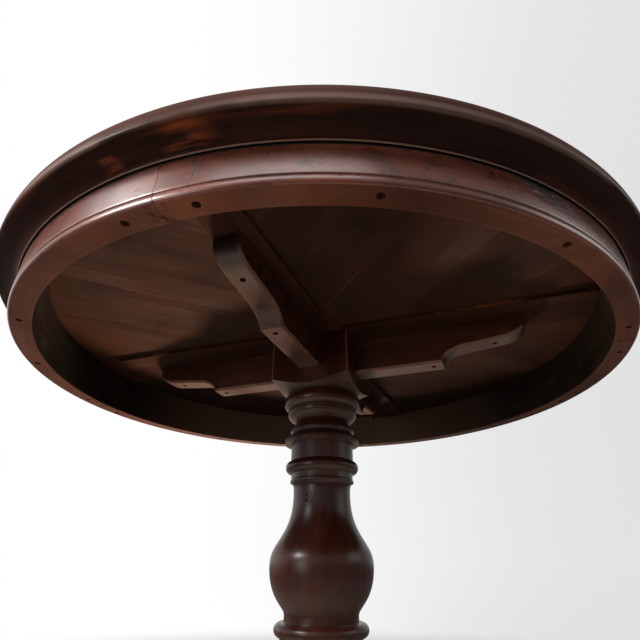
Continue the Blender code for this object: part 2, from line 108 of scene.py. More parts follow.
# Column: square head, and the turned members as drops from the rim
HEAD_HALF = 0.079
HEAD_CORNER_DROP = 0.003
SHOULDER_DROP = 0.0245
SHOULDER_RADIUS = 0.066
TORUS_DROP = 0.040
TORUS_HEIGHT = 0.029
TORUS_RADIUS = 0.077
OVOLO_DROP = 0.0605
OVOLO_HEIGHT = 0.0165
OVOLO_RADIUS = 0.069
OVOLO_GROOVE_DEPTH = 0.0025
OVOLO_GROOVE_RISE = 0.0015
OVOLO_LEDGE_DEPTH = 0.0005
OVOLO_LEDGE_RISE = 0.0025
NECKING_RADIUS = 0.0525
FILLET_DROP = 0.0985
FILLET_HEIGHT = 0.0030
FILLET_RADIUS = 0.0620
DISC_DROP = 0.1225
DISC_HEIGHT = 0.0070
DISC_FLARE = 0.0130
DISC_HANDLES = (0.45, 0.55)
DISC_RADIUS = 0.072
NECK_RADIUS = 0.0595
RING_DROP = 0.166
RING_HEIGHT = 0.022
RING_RADIUS = 0.069
COLLAR_DROP = 0.193
COLLAR_HEIGHT = 0.004
COLLAR_TOP = 0.005
COLLAR_STEP = 0.0015
VASE_NECK_DROP = 0.2145
VASE_NECK_RADIUS = 0.0525
VASE_RADIUS = 0.090
DRUM_RADIUS = 0.068
DRUM_TOP = 0.222
DRUM_CHAMFER = 0.006
DRUM_RING_HEIGHT = 0.020
DRUM_RING_SPREAD = 0.010
VASE_FOOT_LIFT = 0.029
VASE_FOOT = DRUM_TOP + VASE_FOOT_LIFT
VASE_FOOT_RADIUS = 0.062
VASE_FOOT_HANDLES = (0.17, 0.30)
VASE_BELLY_LIFT = 0.102
VASE_BELLY = DRUM_TOP + VASE_BELLY_LIFT
VASE_SHOULDER_HANDLES = (0.32, 0.61)

# Old damage on the apron: a gouge, cracks at the near joint and at the others, and a spill
GOUGE_TURN = math.radians(-43.4)
GOUGE_HEIGHT = 0.694
GOUGE_REACH = 0.046
GOUGE_RISE = 0.015
GOUGE_SLANT = 0.16
GOUGE_DEPTH = 0.0045
BAND_CRACKS = (-88.5, -84.0)
JOINT_CRACKS = (-4.0, 92.0, -175.0)
CRACK_WIDTH = 0.0011
CRACK_EDGE = 0.0006
CRACK_WANDER = 0.016
SPILL_TURN = math.radians(-89.0)
SPILL_REACH = 0.020

# Dark smudges on the band: turn, height and reach
SMUDGES = (
    (-84.0, 0.704, 0.014),
    (-84.6, 0.694, 0.010),
    (-86.4, 0.690, 0.008),
    (-52.0, 0.690, 0.016),
    (-70.0, 0.705, 0.012),
)

# Rubbed stretches of the soffit: turn and reach
RUBBED_STRETCHES = ((-84.5, 0.042), (-94.5, 0.018))

# Nail holes in the neck of the vase: turn and height
NAIL_HOLES = ((-101.5, 0.4304), (-101.0, 0.4215))
NAIL_RADIUS = 0.0017
NAIL_DEPTH = 0.006
NAIL_PROFILE = (
    (NAIL_RADIUS, VASE_NECK_RADIUS - NAIL_DEPTH),
    (NAIL_RADIUS, VASE_RADIUS),
)

# Bounds of painted zones, from the levels and radii above, and the depth of the painted relief
# Height of the painted shade band under the edge moulding
APRON_PAINTED_SHADE = 0.0025
WALL_START = 0.0008
WALL_FULL = 0.0020
HOLE_PAINT_FULL = 0.001
HOLE_PAINT_END = 0.002
SOFFIT_RUDDY_END = 0.580
EDGE_UNDER = 0.003
EDGE_ABOVE = 0.004
BEAD_CREST = APRON_OUTER + EDGE_BEAD * 0.85
BEAD_LINE = 0.0004
# Bounds of the painted highlight on the lip
LIP_HIGHLIGHT_START = 0.0050
LIP_HIGHLIGHT_FULL = 0.0012
LIP_HIGHLIGHT_TOP = 0.010
GLUE_EDGE = 0.0009
GLUE_CORE = 0.0003
CORNER_START = 0.0030
CORNER_FULL = 0.0008
NOSE_START = 0.045
NOSE_FULL = 0.025
FACES_UP = 0.5
BUMP_DEPTH = 0.0006

# Stains of the woods, as dark, middle and light tones
APRON_RED = ((0.044, 0.0112, 0.0062), (0.162, 0.044, 0.024), (0.272, 0.092, 0.050))
APRON_BROWN = ((0.036, 0.0120, 0.0068), (0.077, 0.0266, 0.0148), (0.116, 0.0446, 0.0250))
# The inner wall's own duller stain, made darker still as painted shade inside the apron
APRON_WALL_STAIN_AND_SHADE = ((0.005, 0.003, 0.0018), (0.013, 0.0076, 0.0048), (0.026, 0.0156, 0.0098))
SOFFIT_BLACK = ((0.010, 0.0040, 0.0028), (0.025, 0.0098, 0.0068), (0.056, 0.0195, 0.0112))
RIM_RED = ((0.024, 0.007, 0.004), (0.070, 0.021, 0.011), (0.130, 0.044, 0.022))
BOARD_BROWN = ((0.018, 0.0075, 0.0043), (0.037, 0.0160, 0.0092), (0.064, 0.0298, 0.0178))
BOARD_RED = ((0.026, 0.007, 0.004), (0.090, 0.025, 0.012), (0.160, 0.052, 0.024))
BRACKET_RED = ((0.015, 0.0040, 0.0024), (0.054, 0.0155, 0.0078), (0.116, 0.0385, 0.0188))
BATTEN_BROWN = ((0.012, 0.0042, 0.0024), (0.031, 0.0112, 0.0063), (0.056, 0.0220, 0.0128))
COLUMN_RED = ((0.009, 0.0019, 0.0012), (0.033, 0.0075, 0.0038), (0.076, 0.0200, 0.0098))

# Colours of marks, dirt and wear, and of painted shade, shadow, light and highlights
# Painted shade in the gap under the bead of the edge moulding
PAINTED_GAP_SHADE = (0.004, 0.002, 0.002)
PIT = (0.006, 0.003, 0.002)
CRACK = (0.002, 0.001, 0.001)
BRUISE = (0.030, 0.009, 0.006)
SPLINTER = (0.005, 0.002, 0.0015)
MOTTLE = (0.036, 0.009, 0.005)
SMUDGE = (0.008, 0.003, 0.002)
BAND_SCRATCH = (0.010, 0.004, 0.003)
WALL_SMEAR = (0.024, 0.019, 0.013)
HOLE_BROWN = (0.095, 0.034, 0.013)
BOTTOM_ORANGE = (0.115, 0.030, 0.011)
# Painted light on the far side of the apron's bottom and inner wall
FAR_SIDE_PAINTED_LIGHT = (0.085, 0.044, 0.030)
SPILL = (0.018, 0.004, 0.003)
SOFFIT_ORANGE = (0.240, 0.056, 0.019)
SOFFIT_RUDDY = (0.075, 0.019, 0.010)
# Painted highlight along the crest of the edge bead
BEAD_PAINTED_HIGHLIGHT = (0.260, 0.150, 0.110)
# Painted highlight along the rounded lip of the top's edge
LIP_PAINTED_HIGHLIGHT = (0.135, 0.082, 0.066)
BOARD_RUDDY = (0.048, 0.0135, 0.0060)
# Painted shadow on the far side of the board undersides
BOARD_PAINTED_SHADOW = (0.010, 0.0040, 0.0023)
GLUE = (0.200, 0.085, 0.040)
BOARD_SCRATCH = (0.150, 0.075, 0.045)
# Pale dust with painted light from below, on the arms' and legs' down-facing faces
ARM_DUST_AND_LIGHT = (0.118, 0.075, 0.050)
# End-grain stain with painted shade, for the noses of the arms
END_GRAIN_AND_SHADE = (0.006, 0.002, 0.0015)
RUBBED_ARRIS = (0.150, 0.050, 0.021)
RUBBED_BATTEN = (0.150, 0.044, 0.016)
COLUMN_STAIN = (0.006, 0.002, 0.001)
RUBBED_CORNER = (0.220, 0.075, 0.030)
# Pale dust with painted light from below, on the column's down-facing faces
COLUMN_DUST_AND_LIGHT = (0.120, 0.082, 0.060)
STEEL = (0.05, 0.04, 0.035)
RUST = (0.12, 0.06, 0.03)
FLOOR_TONES = ((0.64, 0.62, 0.59), (0.69, 0.67, 0.64))
WHITE = (1.0, 1.0, 1.0, 1.0)

# Fineness of the meshes, and how far their corners are rounded
APRON_STEPS = 200
APRON_ROWS = 28
EDGE_STEPS = 120
COLUMN_STEPS = 96
HOLE_STEPS = 20
NAIL_STEPS = 16
SHARP_ANGLE = math.radians(38.0)
BEVEL_ANGLE = math.radians(40.0)
SOFT_ANGLE = math.radians(30.0)
SOFT_SHARE = 0.4
APRON_SOFT = 0.0011
EDGE_SOFT = 0.0006
COLUMN_SOFT = 0.0007
WELD_REACH = 0.00001
ARM_BEVEL = 0.0006
BATTEN_BEVEL = 0.0008

# Camera: its angles, and its place from the column's axis at rim level
CAMERA_TURN = math.radians(20.3)
CAMERA_PITCH = math.radians(29.13)
CAMERA_ROLL = math.radians(0.44)
CAMERA_BACK = 0.862
CAMERA_SIDE = -0.006
CAMERA_DROP = 0.321
CAMERA_LENS = 24.4
SENSOR_WIDTH = 36.0

# Lamps, placed and aimed as right, away and up from the photograph's point of view
LAMPS = (
    {
        "name": "back_low",
        "spot": (-0.30, 1.75, 0.065),
        "aim": (-0.22, -0.2, 0.82),
        "size": (0.45, 0.12),
        "power": 11.0,
        "spread": 48.0,
        "mirrored": False,
    },
    {
        "name": "upper_left",
        "spot": (-1.8, -1.30, 1.60),
        "aim": (-0.2, -0.4, 0.7),
        "size": (0.45, 0.45),
        "power": 7.5,
        "spread": 60.0,
    },
    {
        "name": "low_left",
        "spot": (-2.5, 0.8, 0.7),
        "aim": (0.0, 0.0, 0.7),
        "size": (2.0, 1.2),
        "power": 5.0,
    },
    {
        "name": "front_left",
        "spot": (-1.5, -1.6, 0.45),
        "aim": (0.0, 0.0, 0.6),
        "size": (0.7, 0.7),
        "power": 1.2,
        "spread": 60.0,
    },
    {
        "name": "front_top",
        "spot": (-0.4, -1.9, 2.9),
        "aim": (0.0, -0.3, 0.6),
        "size": (2.2, 2.2),
        "power": 17.0,
        "spread": 80.0,
    },
    {
        "name": "right_window",
        "spot": (2.8, -0.6, 1.6),
        "aim": (0.3, 0.0, 0.6),
        "size": (1.6, 1.6),
        "power": 3.0,
        "spread": 80.0,
    },
)
WORLD_STRENGTH = 0.03
SURROUND_RIGHT = 0.76
SURROUND_TURN = (-0.30, 0.60)

# Floor: its reach, and the radii between which it fades into the surround
FLOOR_REACH = 30.0
FADE_START = 0.9
FADE_END = 2.2


class Graph:
    """Short names for building one node tree."""

    def __init__(self, tree):
        self.tree = tree

    def node(self, kind, **inputs):
        made = self.tree.nodes.new(kind)
        for key, value in inputs.items():
            self.put(made.inputs[key], value)
        return made

    def put(self, socket, value):
        if isinstance(value, bpy.types.NodeSocket):
            self.tree.links.new(value, socket)
        else:
            socket.default_value = value

    def math(self, operation, *values):
        made = self.tree.nodes.new("ShaderNodeMath")
        made.operation = operation
        for socket, value in zip(made.inputs, values):
            self.put(socket, value)
        return made.outputs[0]

    def times(self, *values):
        product = values[0]
        for value in values[1:]:
            product = self.math("MULTIPLY", product, value)
        return product

    def plus(self, *values):
        total = values[0]
        for value in values[1:]:
            total = self.math("ADD", total, value)
        return total

    def scaled(self, vector, factors):
        made = self.tree.nodes.new("ShaderNodeVectorMath")
        made.operation = "MULTIPLY"
        self.put(made.inputs[0], vector)
        self.put(made.inputs[1], factors)
        return made.outputs[0]

    def noise(self, vector, scale, detail=3.0, roughness=0.55):
        settings = {"Scale": scale, "Detail": detail, "Roughness": roughness}
        return self.node("ShaderNodeTexNoise", Vector=vector, **settings).outputs["Fac"]

    def stretched(self, vector, factors, detail=3.0, roughness=0.55):
        """Noise at its own scale along each axis."""
        return self.noise(self.scaled(vector, factors), 1.0, detail, roughness)

    def absolute(self, value):
        return self.math("ABSOLUTE", value)

    def most(self, values):
        largest = values[0]
        for value in values[1:]:
            largest = self.math("MAXIMUM", largest, value)
        return largest

    def ramp(self, value, stops):
        made = self.tree.nodes.new("ShaderNodeValToRGB")
        elements = made.color_ramp.elements
        while len(elements) < len(stops):
            elements.new(0.5)
        for element, (place, colour) in zip(elements, stops):
            element.position = place
            element.color = rgb(*colour)
        self.put(made.inputs[0], value)
        return made.outputs[0]

    def step(self, value, low, high):
        """0 at low, 1 at high and smooth between, whichever of them is the larger."""
        made = self.tree.nodes.new("ShaderNodeMapRange")
        made.interpolation_type = "SMOOTHSTEP"
        rising = high > low
        for key, number in (("From Min", min(low, high)), ("From Max", max(low, high))):
            self.put(made.inputs[key], number)
        self.put(made.inputs["To Min"], 0.0 if rising else 1.0)
        self.put(made.inputs["To Max"], 1.0 if rising else 0.0)
        self.put(made.inputs["Value"], value)
        return made.outputs[0]

    def mix(self, factor, first, second):
        """A colour between two colours."""
        made = self.tree.nodes.new("ShaderNodeMix")
        made.data_type = "RGBA"
        self.put(made.inputs[0], factor)
        self.put(made.inputs[6], first)
        self.put(made.inputs[7], second)
        return made.outputs[2]

    def blend(self, factor, first, second):
        """A number between two numbers."""
        made = self.tree.nodes.new("ShaderNodeMix")
        self.put(made.inputs[0], factor)
        self.put(made.inputs[2], first)
        self.put(made.inputs[3], second)
        return made.outputs[0]

    def xyz(self, vector):
        made = self.tree.nodes.new("ShaderNodeSeparateXYZ")
        self.put(made.inputs[0], vector)
        return made.outputs

    def vector(self, x, y, z):
        made = self.tree.nodes.new("ShaderNodeCombineXYZ")
        for socket, value in zip(made.inputs, (x, y, z)):
            self.put(socket, value)
        return made.outputs[0]

    def place(self):
        """Coordinates of a point in the table's frame, in metres."""
        return self.tree.nodes.new("ShaderNodeTexCoord").outputs["Object"]

    def facing(self):
        """The three parts of the surface's own direction."""
        return self.xyz(self.tree.nodes.new("ShaderNodeNewGeometry").outputs["Normal"])

    def surround(self, direction):
        """Strength of the pale surround: white on the photograph's left, greyer on its right."""
        unit = self.tree.nodes.new("ShaderNodeVectorMath")
        unit.operation = "NORMALIZE"
        self.put(unit.inputs[0], direction)
        side = self.dot(unit.outputs[0], turned(1.0, 0.0, 0.0))
        return self.blend(self.step(side, *SURROUND_TURN), 1.0, SURROUND_RIGHT)

    def dot(self, first, second):
        made = self.tree.nodes.new("ShaderNodeVectorMath")
        made.operation = "DOT_PRODUCT"
        self.put(made.inputs[0], first)
        self.put(made.inputs[1], second)
        return made.outputs["Value"]

    def near(self, spot, reach):
        """1 at a spot, fading to 0 at its reach."""
        made = self.tree.nodes.new("ShaderNodeVectorMath")
        made.operation = "DISTANCE"
        self.put(made.inputs[0], self.place())
        self.put(made.inputs[1], spot)
        return self.step(made.outputs["Value"], reach, reach * 0.5)


def rgb(*colour):
    return (*colour, 1.0)


def shade(colour, factor):
    return rgb(*[part * factor for part in colour])


def radius_of(g, x, y):
    return g.math("SQRT", g.plus(g.times(x, x), g.times(y, y)))


def ring_axes(g):
    """Grain that follows the rim: along its turn, then radius and height."""
    x, y, z = g.xyz(g.place())
    return g.times(g.math("ARCTAN2", y, x), APRON_OUTER), radius_of(g, x, y), z


def quadrant_axes(g):
    """Grain along the bisector of each quadrant: distance out along it, then across it and height."""
    x, y, z = g.xyz(g.place())
    out_x = g.absolute(x)
    out_y = g.absolute(y)
    half = math.sqrt(0.5)
    hand = g.math("SIGN", g.times(x, y, -1.0))
    across = g.times(g.math("SUBTRACT", out_x, out_y), hand, half)
    return g.times(g.plus(out_x, out_y), half), across, z


def spoke_axes(g):
    """Grain along a piece that lies on the X or Y axis: distance out, then sideways and height."""
    x, y, z = g.xyz(g.place())
    out_x = g.absolute(x)
    out_y = g.absolute(y)
    return g.math("MAXIMUM", out_x, out_y), g.math("MINIMUM", out_x, out_y), z


def turned_axes(g):
    """Grain along the column: height, then the two level axes."""
    x, y, z = g.xyz(g.place())
    return z, x, y


class Wood:
    """One stained wood: its grain layers, and the colour, roughness and height that marks then change."""

    def __init__(self, name, axes, tones, roughness):
        self.material = bpy.data.materials.new(name)
        self.material.use_nodes = True
        self.shader = self.material.node_tree.nodes["Principled BSDF"]
        g = self.g = Graph(self.material.node_tree)
        self.along, self.across, self.up = axes(g)
        own_number = g.tree.nodes.new("ShaderNodeObjectInfo").outputs["Random"]
        shift = g.times(own_number, 37.0)
        along = g.plus(self.along, shift)
        across = g.plus(self.across, shift)
        self.grain = g.vector(along, across, self.up)
        wave = g.stretched(self.grain, (2.0, 3.0, 3.0), 2.0)
        swayed = g.plus(across, g.times(wave, 0.035))
        bent = g.vector(along, swayed, g.plus(self.up, g.times(wave, 0.020)))
        self.figure = g.stretched(bent, (1.6, 16.0, 16.0), 4.0)
        streak = g.stretched(bent, (4.0, 95.0, 95.0), 5.0, 0.62)
        fibre = g.stretched(bent, (22.0, 640.0, 640.0))
        self.pore = g.step(g.stretched(bent, (60.0, 1150.0, 1150.0), 2.0), 0.60, 0.72)
        self.cloud = g.noise(self.grain, 7.0)
        tone = g.plus(g.times(self.figure, 0.55), g.times(streak, 0.45))
        self.tone = g.plus(tone, g.times(g.math("SUBTRACT", fibre, 0.5), 0.10))
        self.colour = self.stain(tones)
        self.gloss = g.plus(roughness - 0.06, g.times(g.noise(self.grain, 19.0, 4.0), 0.12))
        self.height = g.math("SUBTRACT", g.times(fibre, 0.4), self.pore)

    def stain(self, tones):
        """The grain in three tones, with dark pores and cloudy patches."""
        g = self.g
        dark, mid, light = tones
        colour = g.ramp(self.tone, ((0.28, dark), (0.52, mid), (0.74, light)))
        colour = g.mix(g.times(self.pore, 0.45), colour, shade(dark, 0.3))
        return g.mix(g.step(self.cloud, 0.45, 0.75), colour, shade(mid, 0.55))

    def paint(self, mask, colour, roughness=None):
        """Lays a colour, plain or made by nodes, over the wood, and a roughness with it."""
        g = self.g
        plain = not isinstance(colour, bpy.types.NodeSocket)
        self.colour = g.mix(mask, self.colour, rgb(*colour) if plain else colour)
        if roughness is not None:
            self.gloss = g.blend(mask, self.gloss, roughness)

    def sink(self, mask, depth):
        g = self.g
        self.height = g.math("SUBTRACT", self.height, g.times(mask, depth))

    def along_x(self):
        """1 where a piece lies along the X axis, 0 where it lies along Y."""
        g = self.g
        x, y = g.xyz(g.place())[:2]
        return g.math("GREATER_THAN", g.absolute(x), g.absolute(y))

    def arrises(self, colour, amount):
        """Rubbed chamfers of a piece that lies along the X or Y axis."""
        g = self.g
        side_x, side_y, level = [g.absolute(part) for part in g.facing()]
        slanted = g.step(g.times(g.blend(self.along_x(), side_x, side_y), level), 0.20, 0.42)
        rubbed = g.step(g.noise(self.grain, 38.0, 4.0, 0.65), 0.30, 0.60)
        self.paint(g.times(slanted, g.plus(0.25, g.times(rubbed, 0.75)), amount), colour, 0.42)

    def dust_and_painted_light(self, colour, roughness, tilt, clouds, amount):
        """Pale dust with painted light from below on faces that look down, from a slight tilt to a full one,
        in cloudy patches.
        """
        g = self.g
        below = g.step(g.facing()[2], *tilt)
        clouded = g.step(self.cloud, *clouds)
        self.paint(g.times(below, clouded, amount), colour, roughness)

    def end_grain_and_shade(self, amount):
        """Darker end-grain stain with painted shade on the faces that look straight out, at the nose of an
        arm.
        """
        g = self.g
        face_x, face_y = g.facing()[:2]
        out = g.absolute(g.blend(self.along_x(), face_y, face_x))
        at_nose = g.step(self.along, ARM_NOSE - NOSE_START, ARM_NOSE - NOSE_FULL)
        self.paint(g.times(g.step(out, 0.50, 0.85), at_nose, amount), END_GRAIN_AND_SHADE, 0.60)

    def cracks(self, turns):
        """Wandering dark splits that cross the rim at these turns, in degrees."""
        g = self.g
        jagged = g.stretched(g.place(), (60.0, 60.0, 80.0), 2.0, 0.60)
        wander = g.times(g.math("SUBTRACT", jagged, 0.5), CRACK_WANDER)
        width = g.times(g.step(g.noise(g.place(), 130.0, 2.0), 0.30, 0.75), CRACK_WIDTH)
        for turn in turns:
            place = math.radians(turn) * APRON_OUTER
            off = g.absolute(g.plus(self.along, -place, wander))
            split = g.step(g.math("SUBTRACT", off, width), CRACK_EDGE, 0.0)
            self.paint(g.times(split, 0.95), CRACK, 0.75)
            self.sink(split, 2.0)

    def gouged(self):
        """Dark splintered furrows where the band of the apron was knocked."""
        g = self.g
        along = g.plus(self.along, -GOUGE_TURN * APRON_OUTER)
        up = g.plus(self.up, -GOUGE_HEIGHT, g.times(along, GOUGE_SLANT))
        apart = radius_of(g, g.times(along, 1.0 / GOUGE_REACH), g.times(up, 1.0 / GOUGE_RISE))
        furrow = g.stretched(g.vector(along, up, 0.0), (30.0, 330.0, 1.0), 4.0, 0.65)
        zone = g.step(apart, 1.10, 0.60)
        self.paint(g.times(zone, 0.5), BRUISE, 0.75)
        torn = g.times(zone, g.step(furrow, 0.45, 0.51))
        self.paint(g.times(torn, 0.95), SPLINTER, 0.80)
        self.sink(torn, 3.0)

    def dents(self, scale, share, depth):
        """Small scattered knocks, dark at the bottom."""
        g = self.g
        cells = g.node("ShaderNodeTexVoronoi", Vector=g.place(), Scale=scale)
        chosen = g.step(g.xyz(cells.outputs["Color"])[0], 1.0 - share, 1.0 - share + 0.02)
        wobble = g.times(g.noise(g.place(), 420.0, 2.0), 0.10)
        pit = g.times(chosen, g.step(g.plus(cells.outputs["Distance"], wobble), 0.20, 0.09))
        self.paint(g.times(pit, 0.75), PIT)
        self.sink(pit, depth)

    def scratches(self, amount, colour):
        """Fine broken lines that run across the grain at two slants."""
        g = self.g
        lines = []
        for slant in (0.7, -1.1):
            skewed = g.plus(self.along, g.times(self.up, slant))
            leaning = g.vector(skewed, self.across, g.times(self.up, 0.08))
            lines.append(g.step(g.stretched(leaning, (310.0, 14.0, 60.0), 1.0), 0.70, 0.76))
        shown = g.step(g.noise(g.place(), 23.0, 2.0), 0.52, 0.66)
        self.paint(g.times(g.most(lines), shown, amount), colour)

    def finish(self, coat, coat_roughness, specular, bump=0.16):
        """Joins the layers to the shader."""
        g = self.g
        g.put(self.shader.inputs["Base Color"], self.colour)
        g.put(self.shader.inputs["Roughness"], self.gloss)
        self.shader.inputs["Coat Weight"].default_value = coat
        self.shader.inputs["Coat Roughness"].default_value = coat_roughness
        self.shader.inputs["Specular IOR Level"].default_value = specular
        raised = g.node("ShaderNodeBump", Strength=bump, Distance=BUMP_DEPTH, Height=self.height)
        g.put(self.shader.inputs["Normal"], raised.outputs[0])
        return self.material


def apron_polish():
    """Red polished band and bead on the outside of the apron."""
    wood = Wood("apron_polish", ring_axes, APRON_RED, 0.28)
    g = wood.g
    mottle = g.step(g.stretched(g.place(), (34.0, 34.0, 60.0), 4.0, 0.65), 0.50, 0.68)
    wood.paint(g.times(mottle, 0.65), MOTTLE)
    for turn, height, reach in SMUDGES:
        angle = math.radians(turn)
        spot = (APRON_OUTER * math.cos(angle), APRON_OUTER * math.sin(angle), height)
        wood.paint(g.times(g.near(spot, reach), mottle, 0.9), SMUDGE)
    wood.dents(scale=52.0, share=0.30, depth=6.0)
    wood.dents(scale=95.0, share=0.14, depth=5.0)
    wood.scratches(0.5, BAND_SCRATCH)
    wood.cracks(BAND_CRACKS + JOINT_CRACKS)
    wood.gouged()
    # Painted shade: a dark band along the top of the band, under the bead of the edge moulding
    painted_shade_below_edge = g.step(wood.up, EDGE_FOOT - APRON_PAINTED_SHADE, EDGE_FOOT - APRON_PAINTED_SHADE / 2)
    wood.paint(painted_shade_below_edge, PAINTED_GAP_SHADE, 0.60)
    return wood.finish(coat=0.08, coat_roughness=0.22, specular=0.38, bump=0.10)


def apron_plain():
    """Plain brown bottom, dull dark inner wall darkened further as painted shade, brown screw holes, and
    painted light towards the far side of the apron.
    """
    wood = Wood("apron_plain", ring_axes, APRON_BROWN, 0.48)
    g = wood.g
    wall = g.step(wood.up, RIM + WALL_START, RIM + WALL_FULL)
    bottom = g.math("SUBTRACT", 1.0, wall)
    # Inner wall: its duller stain, darker still as painted shade inside the apron
    wood.paint(wall, wood.stain(APRON_WALL_STAIN_AND_SHADE), 0.50)
    smear = g.step(g.stretched(wood.grain, (14.0, 14.0, 26.0), 4.0, 0.65), 0.54, 0.70)
    wood.paint(g.times(wall, smear, 0.5), WALL_SMEAR)
    aside = g.absolute(g.plus(wood.across, -APRON_MIDDLE))
    in_hole = g.step(aside, HOLE_RADIUS + HOLE_PAINT_END, HOLE_RADIUS + HOLE_PAINT_FULL)
    wood.paint(g.times(wall, in_hole), HOLE_BROWN)
    patch = g.step(g.noise(g.place(), 9.0), 0.48, 0.72)
    wood.paint(g.times(patch, bottom, 0.4), BOTTOM_ORANGE)
    # Painted light: the apron's bottom, inner wall and holes turn paler towards the far side
    far = g.step(g.dot(g.place(), turned(0.0, 1.0, 0.0)), 0.20, 0.45)
    wood.paint(g.times(far, 0.8), FAR_SIDE_PAINTED_LIGHT)
    along = g.absolute(g.plus(wood.along, -SPILL_TURN * APRON_OUTER))
    ragged = g.step(g.stretched(g.place(), (90.0, 90.0, 20.0), 4.0, 0.7), 0.50, 0.60)
    spill = g.times(g.step(along, SPILL_REACH, SPILL_REACH * 0.6), ragged, 0.8)
    wood.paint(g.times(spill, bottom), SPILL)
    wood.dents(scale=52.0, share=0.12, depth=4.0)
    wood.cracks(JOINT_CRACKS)
    return wood.finish(coat=0.0, coat_roughness=0.30, specular=0.08, bump=0.10)


def edge_wood():
    """Nearly black soffit with rubbed orange streaks, painted shade and a painted highlight at the bead, a
    painted highlight on the lip, and a red-brown upper edge.
    """
    wood = Wood("edge_wood", ring_axes, SOFFIT_BLACK, 0.36)
    g = wood.g
    patches = [g.times(g.step(g.stretched(wood.grain, (2.2, 9.0, 9.0)), 0.54, 0.70), 0.6)]
    for turn, reach in RUBBED_STRETCHES:
        off = g.absolute(g.plus(wood.along, -math.radians(turn) * APRON_OUTER))
        patches.append(g.step(off, reach, 0.0))
    rubbed = g.step(g.stretched(wood.grain, (9.0, 70.0, 70.0), 4.0), 0.45, 0.62)
    under = g.step(wood.up, EDGE_WIDEST, EDGE_WIDEST - EDGE_UNDER)
    wood.paint(g.times(g.most(patches), rubbed, under, 0.85), SOFFIT_ORANGE)
    above = g.step(wood.up, EDGE_WIDEST, EDGE_WIDEST + EDGE_ABOVE)
    wood.paint(g.times(above, 0.7), wood.stain(RIM_RED))
    inward = g.step(wood.across, SOFFIT_RUDDY_END, APRON_OUTER)
    ruddy = g.times(inward, g.step(wood.figure, 0.40, 0.60))
    wood.paint(g.times(ruddy, 0.8), SOFFIT_RUDDY)
    low = g.step(wood.up, EDGE_FOOT + EDGE_BEAD, EDGE_FOOT + EDGE_BEAD * 0.7)
    root = g.step(wood.across, BEAD_CREST, BEAD_CREST - BEAD_LINE)
    crest = g.step(wood.across, BEAD_CREST - BEAD_LINE, BEAD_CREST)
    # Painted shade: the flat underside of the bead, next to the apron, is painted dark
    wood.paint(g.times(low, root), PAINTED_GAP_SHADE, 0.60)
    # Painted highlight: a pale line along the crest of the bead
    wood.paint(g.times(low, crest, 0.8), BEAD_PAINTED_HIGHLIGHT)
    # Painted highlight: a pale band along the rounded lip and just above it
    lip = g.times(
        g.step(wood.across, TABLE_RADIUS - LIP_HIGHLIGHT_START, TABLE_RADIUS - LIP_HIGHLIGHT_FULL),
        g.step(wood.up, EDGE_WIDEST + LIP_HIGHLIGHT_TOP, EDGE_WIDEST + EDGE_ABOVE),
        g.step(g.noise(wood.grain, 9.0), 0.25, 0.60),
    )
    wood.paint(g.times(lip, 0.75), LIP_PAINTED_HIGHLIGHT, 0.45)
    wood.dents(scale=40.0, share=0.10, depth=4.0)
    wood.gloss = g.blend(above, wood.gloss, 0.62)
    return wood.finish(coat=0.0, coat_roughness=0.15, specular=0.03, bump=0.10)


def board_plain():
    """Plain brown underside with pale glue lines between the boards, and a painted shadow towards the far
    side.
    """
    wood = Wood("board_plain", quadrant_axes, BOARD_BROWN, 0.48)
    g = wood.g
    ruddy = g.step(g.noise(g.place(), 3.4, 2.0), 0.44, 0.66)
    wood.paint(g.times(ruddy, 0.55), BOARD_RUDDY)
    # Painted shadow: the board undersides darken towards the far side
    painted_far_shadow = g.step(g.dot(g.place(), turned(0.0, 1.0, 0.0)), 0.04, 0.26)
    wood.paint(g.times(painted_far_shadow, 0.75), BOARD_PAINTED_SHADOW)
    lines = []
    for joint in BOARD_JOINTS:
        off = g.absolute(g.math("SUBTRACT", wood.across, joint))
        lines.append(g.step(off, GLUE_EDGE, GLUE_CORE))
    broken = g.step(g.noise(g.place(), 7.0), 0.50, 0.62)
    wood.paint(g.times(g.most(lines), broken, 0.6), GLUE)
    wood.scratches(0.12, BOARD_SCRATCH)
    return wood.finish(coat=0.0, coat_roughness=0.30, specular=0.05, bump=0.10)


def board_polish():
    """Polished red-brown upper face of the boards."""
    wood = Wood("board_polish", quadrant_axes, BOARD_RED, 0.22)
    return wood.finish(coat=0.30, coat_roughness=0.08, specular=0.40)


def bracket_wood(name, roughness, coat, coat_roughness, specular, ends=0.0):
    """Arms and legs: dark red-brown with rubbed orange chamfers, pale dust with painted light from below,
    and dark noses of end grain with painted shade where asked.
    """
    wood = Wood(name, spoke_axes, BRACKET_RED, roughness)
    wood.dents(scale=46.0, share=0.10, depth=4.0)
    # Pale dust with painted light from below on the faces that look down
    wood.dust_and_painted_light(ARM_DUST_AND_LIGHT, 0.36, tilt=(-0.30, -0.85), clouds=(0.30, 0.60), amount=0.55)
    # Dark noses: end-grain stain with painted shade
    if ends:
        wood.end_grain_and_shade(ends)
    wood.arrises(RUBBED_ARRIS, 0.8)
    return wood.finish(coat, coat_roughness, specular)


def batten_wood():
    """Thin brown battens with rubbed orange edges."""
    wood = Wood("batten_wood", spoke_axes, BATTEN_BROWN, 0.42)
    g = wood.g
    edge = g.step(g.absolute(g.facing()[2]), 0.92, 0.60)
    rubbed = g.step(g.noise(wood.grain, 14.0, 4.0, 0.65), 0.46, 0.64)
    wood.paint(g.times(edge, rubbed, 0.9), RUBBED_BATTEN)
    wood.dents(scale=46.0, share=0.10, depth=4.0)
    return wood.finish(coat=0.0, coat_roughness=0.20, specular=0.03)


